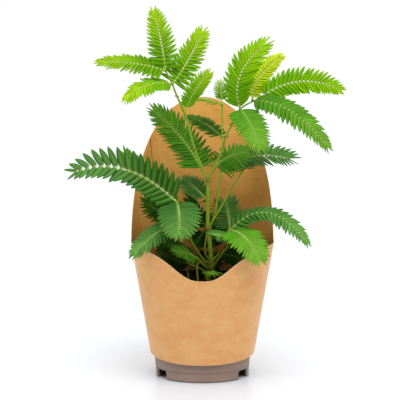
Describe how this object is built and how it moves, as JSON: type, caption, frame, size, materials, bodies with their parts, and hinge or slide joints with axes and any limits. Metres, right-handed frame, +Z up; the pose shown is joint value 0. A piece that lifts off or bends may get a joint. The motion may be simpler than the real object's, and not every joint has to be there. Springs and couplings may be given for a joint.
{
  "type": "potted everfresh tree",
  "caption": "Young feathery-leaved tree in a round nursery pot, with a paper sleeve round the pot that is low in front and arched behind.",
  "frame": {"origin": "middle of the pot's flat foot pad, on the surface that the pot stands on", "axes": "+Z up along the pot's axis; -Y is the front, where the sleeve is cut low; +X is to the right seen from the front"},
  "size_m": [0.2573, 0.1573, 0.3362],
  "materials": {
    "pot_plastic": "matte",
    "soil": "matte",
    "kraft_paper": "matte",
    "green_stem": "satin",
    "leaf_young": "satin",
    "leaf_grown": "satin",
    "leaf_old": "satin"
  },
  "bodies": {
    "root": {"pot": "pot_plastic", "soil": "soil", "sleeve": "kraft_paper", "stems": "green_stem", "shoot_left": "green_stem", "shoot_outer": "green_stem", "pinna_01": "leaf_young", "pinna_02": "leaf_young", "pinna_03": "leaf_young", "pinna_04": "leaf_young", "pinna_05": "leaf_young", "pinna_06": "leaf_old", "pinna_07": "leaf_old", "pinna_08": "leaf_old", "pinna_09": "leaf_old", "pinna_10": "leaf_old", "pinna_11": "leaf_old", "pinna_12": "leaf_grown", "pinna_13": "leaf_grown", "pinna_14": "leaf_young", "pinna_15": "leaf_young", "pinna_16": "leaf_grown", "pinna_17": "leaf_grown", "pinna_18": "leaf_young", "pinna_19": "leaf_old", "pinna_20": "leaf_grown", "pinna_21": "leaf_old", "pinna_22": "leaf_old", "pinna_23": "leaf_old", "pinna_24": "leaf_grown", "pinna_25": "leaf_old", "pinna_26": "leaf_old", "pinna_27": "leaf_old", "pinna_28": "leaf_old", "pinna_29": "leaf_old", "pinna_30": "leaf_old", "pinna_31": "leaf_old", "pinna_32": "leaf_grown", "pinna_33": "leaf_old", "pinna_34": "leaf_old", "pinna_35": "leaf_old", "pinna_36": "leaf_old", "pinna_37": "leaf_old", "pinna_38": "leaf_old", "pinna_39": "leaf_old", "pinna_40": "leaf_old"}
  },
  "joints": []
}
